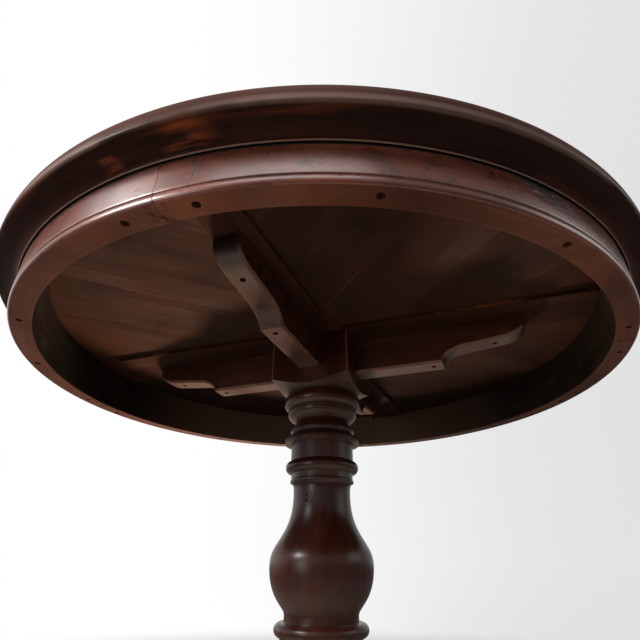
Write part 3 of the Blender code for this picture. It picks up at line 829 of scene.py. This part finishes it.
def turned_wood():
    """Deep red polished turning with dark stains that run down it, pale dust with painted light from below,
    and a head with rubbed corners.
    """
    wood = Wood("turned_wood", turned_axes, COLUMN_RED, 0.30)
    g = wood.g
    stain = g.step(g.stretched(wood.grain, (5.0, 42.0, 42.0)), 0.58, 0.72)
    wood.paint(g.times(stain, 0.6), COLUMN_STAIN)
    sides = [g.absolute(part) for part in (wood.across, wood.up)]
    corner = g.times(*[g.step(side, HEAD_HALF - CORNER_START, HEAD_HALF - CORNER_FULL) for side in sides])
    wood.paint(g.times(corner, 0.8), RUBBED_CORNER, 0.42)
    wood.dents(scale=60.0, share=0.05, depth=4.0)
    # Pale dust with painted light from below on the faces that look down
    wood.dust_and_painted_light(COLUMN_DUST_AND_LIGHT, 0.45, tilt=(-0.25, -0.75), clouds=(0.25, 0.55), amount=0.6)
    return wood.finish(coat=0.04, coat_roughness=0.18, specular=0.18)


def screw_steel():
    """Old steel with fine rust."""
    steel = bpy.data.materials.new("screw_steel")
    steel.use_nodes = True
    g = Graph(steel.node_tree)
    shader = steel.node_tree.nodes["Principled BSDF"]
    rust = g.noise(g.place(), 900.0)
    g.put(shader.inputs["Base Color"], g.ramp(rust, ((0.35, STEEL), (0.7, RUST))))
    g.put(shader.inputs["Roughness"], g.plus(0.4, g.times(rust, 0.3)))
    shader.inputs["Metallic"].default_value = 0.9
    raised = g.node("ShaderNodeBump", Strength=0.2, Distance=0.0002, Height=rust)
    g.put(shader.inputs["Normal"], raised.outputs[0])
    return steel


def arc(centre, radii, start, end, steps):
    """Points of an elliptical arc, by its centre, its two radii and its end angles in degrees."""
    points = []
    for step in range(steps + 1):
        angle = math.radians(start + (end - start) * step / steps)
        points.append((centre[0] + radii[0] * math.cos(angle), centre[1] + radii[1] * math.sin(angle)))
    return points


def curve(start, start_handle, end_handle, end, steps):
    """Points of one Bezier span without its first point."""
    knots = [Vector(point) for point in (start, start_handle, end_handle, end)]
    span = interpolate_bezier(*knots, steps + 1)
    return [(point.x, point.y) for point in span[1:]]


def bead(root, middle, height, crest, steps=12):
    """A rounded bead standing out from the root radius, about a middle height."""
    return arc((root, middle), (crest - root, height / 2), -90.0, 90.0, steps)


def soften(points, reach, closed=True):
    """Rounds every sharp corner of an outline over a short reach."""
    softened = []
    count = len(points)
    for index, point in enumerate(points):
        here = Vector(point)
        back = Vector(points[index - 1]) - here
        ahead = Vector(points[(index + 1) % count]) - here
        end = not closed and index in (0, count - 1)
        short = min(back.length, ahead.length) < GAP
        if end or short or math.pi - back.angle(ahead) < SOFT_ANGLE:
            softened.append(point)
            continue
        start = here + back.normalized() * min(reach, back.length * SOFT_SHARE)
        stop = here + ahead.normalized() * min(reach, ahead.length * SOFT_SHARE)
        for part in (0.0, 0.33, 0.67, 1.0):
            spot = start * (1 - part) ** 2 + here * 2 * part * (1 - part) + stop * part**2
            softened.append((spot.x, spot.y))
    return softened


def swept(profile, start, end, steps):
    """A closed outline of (radius, height) points swept about Z between two turns in degrees."""
    shape = bmesh.new()
    trim = math.degrees(GAP / 2 / APRON_INNER)
    rings = []
    for step in range(steps + 1):
        angle = math.radians(start + trim + (end - start - 2 * trim) * step / steps)
        rings.append([shape.verts.new((r * math.cos(angle), r * math.sin(angle), z)) for r, z in profile])
    for low, high in zip(rings, rings[1:]):
        for index in range(len(profile)):
            shape.faces.new((low[index - 1], low[index], high[index], high[index - 1]))
    shape.faces.new(rings[0])
    shape.faces.new(rings[-1])
    return shape


def turning(profile, steps):
    """A solid turned about Z through (radius, height) points, flat at both ends."""
    shape = bmesh.new()
    rings = []
    for radius, height in profile:
        angles = [2.0 * math.pi * step / steps for step in range(steps)]
        rings.append([shape.verts.new((radius * math.cos(a), radius * math.sin(a), height)) for a in angles])
    for low, high in zip(rings, rings[1:]):
        for step in range(steps):
            after = (step + 1) % steps
            shape.faces.new((low[step], low[after], high[after], high[step]))
    shape.faces.new(rings[0])
    shape.faces.new(rings[-1])
    return shape


def joined(shapes):
    """Several separate shapes as one."""
    whole = bmesh.new()
    for shape in shapes:
        data = bpy.data.meshes.new("shape")
        shape.to_mesh(data)
        shape.free()
        whole.from_mesh(data)
        bpy.data.meshes.remove(data)
    return whole


def object_of(name, shape):
    """An object in the scene, made of a shape that is then let go."""
    bmesh.ops.recalc_face_normals(shape, faces=shape.faces)
    data = bpy.data.meshes.new(name)
    shape.to_mesh(data)
    shape.free()
    made = bpy.data.objects.new(name, data)
    bpy.context.scene.collection.objects.link(made)
    return made


def carve(obj, tool):
    """Takes one object out of another for good."""
    cut = obj.modifiers.new("carve", "BOOLEAN")
    cut.solver = "EXACT"
    cut.object = tool
    bpy.context.view_layer.update()
    graph = bpy.context.evaluated_depsgraph_get()
    carved = bpy.data.meshes.new_from_object(obj.evaluated_get(graph))
    obj.modifiers.clear()
    obj.data = carved
    bpy.data.objects.remove(tool, do_unlink=True)


def finish_piece(piece, node, material):
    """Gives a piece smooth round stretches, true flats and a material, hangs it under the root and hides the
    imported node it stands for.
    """
    piece.data.shade_smooth()
    piece.data.set_sharp_from_angle(angle=SHARP_ANGLE)
    piece.data.materials.clear()
    piece.data.materials.append(material)
    even = piece.modifiers.new("even_normals", "WEIGHTED_NORMAL")
    even.keep_sharp = True
    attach(piece, "root")
    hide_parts(node)


def dress(name, material, bevel=0.0):
    """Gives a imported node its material, smooth round stretches and slightly softened edges."""
    node = NODES[name]
    node.data.materials.clear()
    node.data.materials.append(material)
    for face in node.data.polygons:
        face.use_smooth = True
    weld = node.modifiers.new("weld", "WELD")
    weld.merge_threshold = WELD_REACH
    if bevel:
        soft = node.modifiers.new("soft_edges", "BEVEL")
        soft.width = bevel
        soft.segments = 2
        soft.limit_method = "ANGLE"
        soft.angle_limit = BEVEL_ANGLE
    split = node.modifiers.new("sharp_edges", "EDGE_SPLIT")
    split.split_angle = SHARP_ANGLE
    node.modifiers.new("even_normals", "WEIGHTED_NORMAL")


def apron_profile():
    """Inner wall, flat bottom, bead with a quirk above it, and the plain band in fine rows."""
    band = APRON_OUTER - GAP
    quirk = RIM + APRON_BEAD
    top = UNDERSIDE - GAP
    profile = [(APRON_INNER, top), (APRON_INNER, RIM)]
    middle = RIM + APRON_BEAD / 2
    profile += arc((band - APRON_ROUND, middle), (APRON_ROUND, APRON_BEAD / 2), -90.0, 0.0, 8)
    profile += arc((band - APRON_QUIRK, middle), (APRON_QUIRK, APRON_BEAD / 2), 10.0, 90.0, 6)
    profile += [(band - APRON_QUIRK, quirk + GAP), (band, quirk + APRON_QUIRK)]
    profile = soften(profile + [(band, top)], APRON_SOFT)
    rows = [row for row in profile if abs(row[0] - band) < GAP / 10 and quirk < row[1] < top - GAP]
    after = profile.index(min(rows, key=lambda row: row[1])) + 1
    low = profile[after - 1][1]
    fine = [(band, low + (top - low) * row / APRON_ROWS) for row in range(1, APRON_ROWS - 1)]
    return profile[:after] + fine + profile[after:]


def gouge(shape):
    """Splintered furrows in the band of the apron, where it was knocked."""
    for vertex in shape.verts:
        if math.hypot(vertex.co.x, vertex.co.y) < APRON_OUTER - APRON_ROUND / 2:
            continue
        turn = math.atan2(vertex.co.y, vertex.co.x)
        along = (turn - GOUGE_TURN) * APRON_OUTER
        rise = vertex.co.z - GOUGE_HEIGHT + along * GOUGE_SLANT
        fade = max(0.0, 1.0 - math.hypot(along / GOUGE_REACH, rise / GOUGE_RISE))
        furrow = noise.noise(Vector((along * 45.0, rise * 420.0, 3.7)))
        depth = GOUGE_DEPTH * min(1.0, fade * 2.2) * max(0.0, furrow - 0.02)
        vertex.co.x -= depth * math.cos(turn)
        vertex.co.y -= depth * math.sin(turn)


def make_apron(polish, plain):
    """Four segments between the butt joints, each with its screw holes."""
    ends = (*APRON_JOINT_TURNS[1:], APRON_JOINT_TURNS[0] + 360.0)
    to_middle = Matrix.Translation((APRON_MIDDLE, 0.0, 0.0))
    for side, start, end in zip(QUADRANTS, APRON_JOINT_TURNS, ends):
        shape = swept(apron_profile(), start, end, APRON_STEPS)
        if side == "near_right":
            gouge(shape)
        piece = object_of(f"apron_band_{side}", shape)
        holes = []
        for turn in RIM_SCREW_TURNS[side]:
            hole = turning(HOLE_PROFILE, HOLE_STEPS)
            hole.transform(Matrix.Rotation(math.radians(turn), 4, "Z") @ to_middle)
            holes.append(hole)
        carve(piece, object_of("holes", joined(holes)))
        finish_piece(piece, f"apron_{side}", polish)
        piece.data.materials.append(plain)
        for face in piece.data.polygons:
            out = math.hypot(face.center.x, face.center.y)
            face.material_index = int(out < APRON_OUTER - APRON_ROUND - 2.0 * GAP)


def edge_profile():
    """Quirk bead, cove flaring out, rounded lip, thumb moulding and fillet."""
    inner = APRON_OUTER + GAP
    root = inner + EDGE_BEAD / 2
    cove_foot = EDGE_FOOT + EDGE_BEAD + GAP
    lip_radius = TABLE_RADIUS - EDGE_LIP
    fillet = TABLE_HEIGHT - EDGE_FILLET
    thumb_foot = EDGE_WIDEST + EDGE_LIP
    profile = [(inner, TABLE_HEIGHT), (inner, EDGE_FOOT)]
    profile += bead(root, EDGE_FOOT + EDGE_BEAD / 2, EDGE_BEAD, inner + EDGE_BEAD, 8)
    profile += arc((lip_radius, cove_foot), (lip_radius - root, EDGE_COVE), 178.0, 96.0, 14)
    profile += arc((lip_radius, EDGE_WIDEST), (EDGE_LIP, EDGE_LIP), -80.0, 0.0, 8)
    profile += arc((TABLE_RADIUS - EDGE_THUMB, thumb_foot), (EDGE_THUMB, fillet - thumb_foot), 0.0, 84.0, 12)
    profile += [(TABLE_RADIUS - EDGE_THUMB - EDGE_FILLET / 2, fillet)]
    profile += [(TABLE_RADIUS - EDGE_THUMB - EDGE_FILLET, TABLE_HEIGHT)]
    return soften(profile, EDGE_SOFT)


def make_edge(material):
    """Four segments round the boards."""
    for index, side in enumerate(SIDES):
        start = 90.0 * index - EDGE_JOINT_TURN
        piece = object_of(f"edge_lip_{side}", swept(edge_profile(), start, start + 90.0, EDGE_STEPS))
        finish_piece(piece, f"edge_moulding_{side}", material)


def column_profile():
    """Foot drum, vase, and the stack of rings and coves below the square head."""
    vase_neck = RIM - VASE_NECK_DROP
    collar = RIM - COLLAR_DROP
    vase_rise = vase_neck - VASE_BELLY
    foot_rise = VASE_BELLY - VASE_FOOT
    disc = RIM - DISC_DROP
    disc_top = disc + DISC_HEIGHT
    fillet = RIM - FILLET_DROP
    ovolo_top = RIM - OVOLO_DROP
    necking = RIM - OVOLO_DROP - OVOLO_HEIGHT
    ledge = OVOLO_RADIUS - OVOLO_LEDGE_DEPTH
    ring_middle = DRUM_TOP + DRUM_RING_HEIGHT / 2
    head_radius = HEAD_HALF * math.sqrt(2.0) + GAP
    profile = [(DRUM_RADIUS - DRUM_CHAMFER, COLUMN_FOOT), (DRUM_RADIUS, COLUMN_FOOT + DRUM_CHAMFER)]
    profile += bead(DRUM_RADIUS, ring_middle, DRUM_RING_HEIGHT, DRUM_RADIUS + DRUM_RING_SPREAD)
    profile += [(VASE_FOOT_RADIUS, DRUM_TOP + DRUM_RING_HEIGHT + GAP), (VASE_FOOT_RADIUS, VASE_FOOT)]
    profile += curve(
        (VASE_FOOT_RADIUS, VASE_FOOT),
        (VASE_FOOT_RADIUS, VASE_FOOT + foot_rise * VASE_FOOT_HANDLES[0]),
        (VASE_RADIUS, VASE_FOOT + foot_rise * VASE_FOOT_HANDLES[1]),
        (VASE_RADIUS, VASE_BELLY),
        20,
    )
    profile += curve(
        (VASE_RADIUS, VASE_BELLY),
        (VASE_RADIUS, VASE_BELLY + vase_rise * VASE_SHOULDER_HANDLES[0]),
        (VASE_NECK_RADIUS, vase_neck - vase_rise * VASE_SHOULDER_HANDLES[1]),
        (VASE_NECK_RADIUS, vase_neck),
        24,
    )
    profile += curve(
        (VASE_NECK_RADIUS, vase_neck),
        (VASE_NECK_RADIUS, (vase_neck + collar) / 2),
        (VASE_NECK_RADIUS, collar - GAP),
        (NECK_RADIUS, collar),
        8,
    )
    profile += [(NECK_RADIUS, collar + COLLAR_HEIGHT), (NECK_RADIUS - COLLAR_STEP, collar + COLLAR_TOP)]
    profile += bead(NECK_RADIUS - COLLAR_STEP, RIM - RING_DROP, RING_HEIGHT, RING_RADIUS, 16)
    profile += [(NECK_RADIUS, RIM - RING_DROP + RING_HEIGHT / 2 + GAP)]
    profile += [(NECK_RADIUS, disc - GAP), (DISC_RADIUS, disc), (DISC_RADIUS, disc_top)]
    profile += curve(
        (DISC_RADIUS, disc_top),
        (DISC_RADIUS, disc_top + DISC_FLARE * DISC_HANDLES[0]),
        (NECK_RADIUS, disc_top + DISC_FLARE * DISC_HANDLES[1]),
        (NECK_RADIUS, disc_top + DISC_FLARE),
        12,
    )
    profile += [(FILLET_RADIUS, fillet), (FILLET_RADIUS, fillet + FILLET_HEIGHT)]
    profile += curve(
        (FILLET_RADIUS, fillet + FILLET_HEIGHT),
        (FILLET_RADIUS, fillet + FILLET_HEIGHT * 2.0),
        (NECKING_RADIUS, necking - FILLET_HEIGHT * 3.0),
        (NECKING_RADIUS, necking),
        12,
    )
    ovolo = (OVOLO_RADIUS - NECKING_RADIUS, OVOLO_HEIGHT)
    profile += arc((NECKING_RADIUS, ovolo_top), ovolo, -86.0, 0.0, 14)
    profile += [(OVOLO_RADIUS - OVOLO_GROOVE_DEPTH, ovolo_top + OVOLO_GROOVE_RISE)]
    profile += [(ledge, ovolo_top + OVOLO_LEDGE_RISE)]
    profile += [(ledge, RIM - TORUS_DROP - TORUS_HEIGHT / 2 - GAP)]
    profile += bead(SHOULDER_RADIUS, RIM - TORUS_DROP, TORUS_HEIGHT, TORUS_RADIUS, 20)
    profile += [(SHOULDER_RADIUS, RIM - SHOULDER_DROP)]
    profile += [(head_radius, RIM - HEAD_CORNER_DROP), (head_radius, HEAD_TOP)]
    return soften(profile, COLUMN_SOFT, closed=False)


def make_column(material):
    """One fine turning whose head is sawn square through its sloping shoulder, with two nail holes."""
    shape = turning(column_profile(), COLUMN_STEPS)
    shoulder = RIM - SHOULDER_DROP - GAP
    for axis in (Vector((1.0, 0.0, 0.0)), Vector((0.0, 1.0, 0.0))):
        for hand in (1.0, -1.0):
            faces = [face for face in shape.faces if all(v.co.z > shoulder for v in face.verts)]
            # Each once and in a fixed order, so that every run splits the sawn faces alike
            edges = dict.fromkeys(edge for face in faces for edge in face.edges)
            corners = dict.fromkeys(vertex for face in faces for vertex in face.verts)
            bmesh.ops.bisect_plane(
                shape,
                geom=[*corners, *edges, *faces],
                dist=WELD_REACH,
                plane_co=axis * hand * HEAD_HALF,
                plane_no=axis * hand,
                clear_outer=True,
            )
            rim = [edge for edge in shape.edges if edge.is_boundary]
            bmesh.ops.holes_fill(shape, edges=rim, sides=0)
    piece = object_of("column_turning", shape)
    level = Matrix.Rotation(math.pi / 2, 4, "Y")
    nails = []
    for turn, height in NAIL_HOLES:
        nail = turning(NAIL_PROFILE, NAIL_STEPS)
        lifted = Matrix.Translation((0.0, 0.0, height))
        nail.transform(lifted @ Matrix.Rotation(math.radians(turn), 4, "Z") @ level)
        nails.append(nail)
    carve(piece, object_of("nails", joined(nails)))
    finish_piece(piece, "column", material)


def dress_boards():
    """Plain wood below and polish above."""
    finishes = (board_plain(), board_polish())
    for name in NODES:
        if not name.startswith("top_board"):
            continue
        dress(name, finishes[0])
        data = NODES[name].data
        data.materials.append(finishes[1])
        for face in data.polygons:
            face.material_index = int(face.normal.z > FACES_UP)


def dress_brackets():
    """Arms, legs and battens."""
    arm = bracket_wood("arm_wood", 0.28, coat=0.08, coat_roughness=0.14, specular=0.28, ends=0.9)
    leg = bracket_wood("leg_wood", 0.24, coat=0.30, coat_roughness=0.08, specular=0.40)
    batten = batten_wood()
    for name in NODES:
        if "screw" in name:
            continue
        if name.startswith("arm"):
            dress(name, arm, ARM_BEVEL)
        elif name.startswith("leg"):
            dress(name, leg)
        elif name.startswith("batten"):
            dress(name, batten, BATTEN_BEVEL)


def dress_table():
    """Every piece of the table, packed or made here."""
    steel = screw_steel()
    for name in NODES:
        if "screw" in name:
            dress(name, steel)
    dress_boards()
    dress_brackets()
    make_apron(apron_polish(), apron_plain())
    make_edge(edge_wood())
    make_column(turned_wood())


def turned(x, y, z):
    """A place given as right, away and up from the photograph's point of view, in the table's frame."""
    return Matrix.Rotation(CAMERA_TURN, 4, "Z") @ Vector((x, y, z))


def make_camera():
    """A low camera at the photograph's viewing angle."""
    data = bpy.data.cameras.new("camera")
    data.lens = CAMERA_LENS
    data.sensor_width = SENSOR_WIDTH
    camera = bpy.data.objects.new("camera", data)
    bpy.context.scene.collection.objects.link(camera)
    tilt = Matrix.Rotation(math.pi / 2 + CAMERA_PITCH, 4, "X") @ Matrix.Rotation(CAMERA_ROLL, 4, "Z")
    stand = Matrix.Translation(turned(CAMERA_SIDE, -CAMERA_BACK, RIM - CAMERA_DROP))
    camera.matrix_world = stand @ Matrix.Rotation(CAMERA_TURN, 4, "Z") @ tilt
    bpy.context.scene.camera = camera


def lamp(name, spot, aim, size, power, spread=180.0, mirrored=True):
    """A soft lamp, hidden from the camera and, if not mirrored, from reflections."""
    data = bpy.data.lights.new(name, "AREA")
    data.spread = math.radians(spread)
    data.shape = "RECTANGLE"
    data.size, data.size_y = size
    data.energy = power
    made = bpy.data.objects.new(name, data)
    bpy.context.scene.collection.objects.link(made)
    made.visible_camera = False
    made.visible_glossy = mirrored
    made.location = turned(*spot)
    made.rotation_euler = (turned(*aim) - made.location).to_track_quat("-Z", "Y").to_euler()


def make_floor():
    """A pale floor that keeps the table's shadow and runs into the pale surround."""
    data = bpy.data.meshes.new("floor")
    hands = ((-1, -1), (1, -1), (1, 1), (-1, 1))
    corners = [(right * FLOOR_REACH, away * FLOOR_REACH, 0.0) for right, away in hands]
    data.from_pydata(corners, [], [(0, 1, 2, 3)])
    floor = bpy.data.objects.new("floor", data)
    bpy.context.scene.collection.objects.link(floor)
    material = bpy.data.materials.new("pale_floor")
    material.use_nodes = True
    g = Graph(material.node_tree)
    nodes = material.node_tree.nodes
    shader = nodes["Principled BSDF"]
    cloud = g.noise(g.place(), 3.0, 4.0)
    g.put(shader.inputs["Base Color"], g.ramp(cloud, ((0.3, FLOOR_TONES[0]), (0.7, FLOOR_TONES[1]))))
    shader.inputs["Roughness"].default_value = 0.7
    x, y = g.xyz(g.place())[:2]
    seen = nodes.new("ShaderNodeLightPath").outputs["Is Camera Ray"]
    far = g.times(g.step(radius_of(g, x, y), FADE_START, FADE_END), seen)
    glow = g.node("ShaderNodeEmission", Color=WHITE, Strength=g.surround(g.place()))
    faded = nodes.new("ShaderNodeMixShader")
    g.put(faded.inputs[0], far)
    g.put(faded.inputs[1], shader.outputs[0])
    g.put(faded.inputs[2], glow.outputs[0])
    g.put(nodes["Material Output"].inputs["Surface"], faded.outputs[0])
    data.materials.append(material)


def make_light():
    """A pale surround, a low light behind the table, and soft ones high in front and at the sides."""
    world = bpy.data.worlds.new("room")
    bpy.context.scene.world = world
    world.use_nodes = True
    g = Graph(world.node_tree)
    path = g.tree.nodes.new("ShaderNodeLightPath").outputs
    seen = g.most([path[f"Is {ray} Ray"] for ray in ("Camera", "Transmission", "Glossy")])
    background = world.node_tree.nodes["Background"]
    around = g.tree.nodes.new("ShaderNodeTexCoord").outputs["Generated"]
    g.put(background.inputs["Color"], WHITE)
    g.put(background.inputs["Strength"], g.blend(seen, WORLD_STRENGTH, g.surround(around)))
    for settings in LAMPS:
        lamp(**settings)


def main():
    bpy.context.scene.view_settings.view_transform = "Standard"
    make_camera()
    dress_table()
    make_floor()
    make_light()


main()
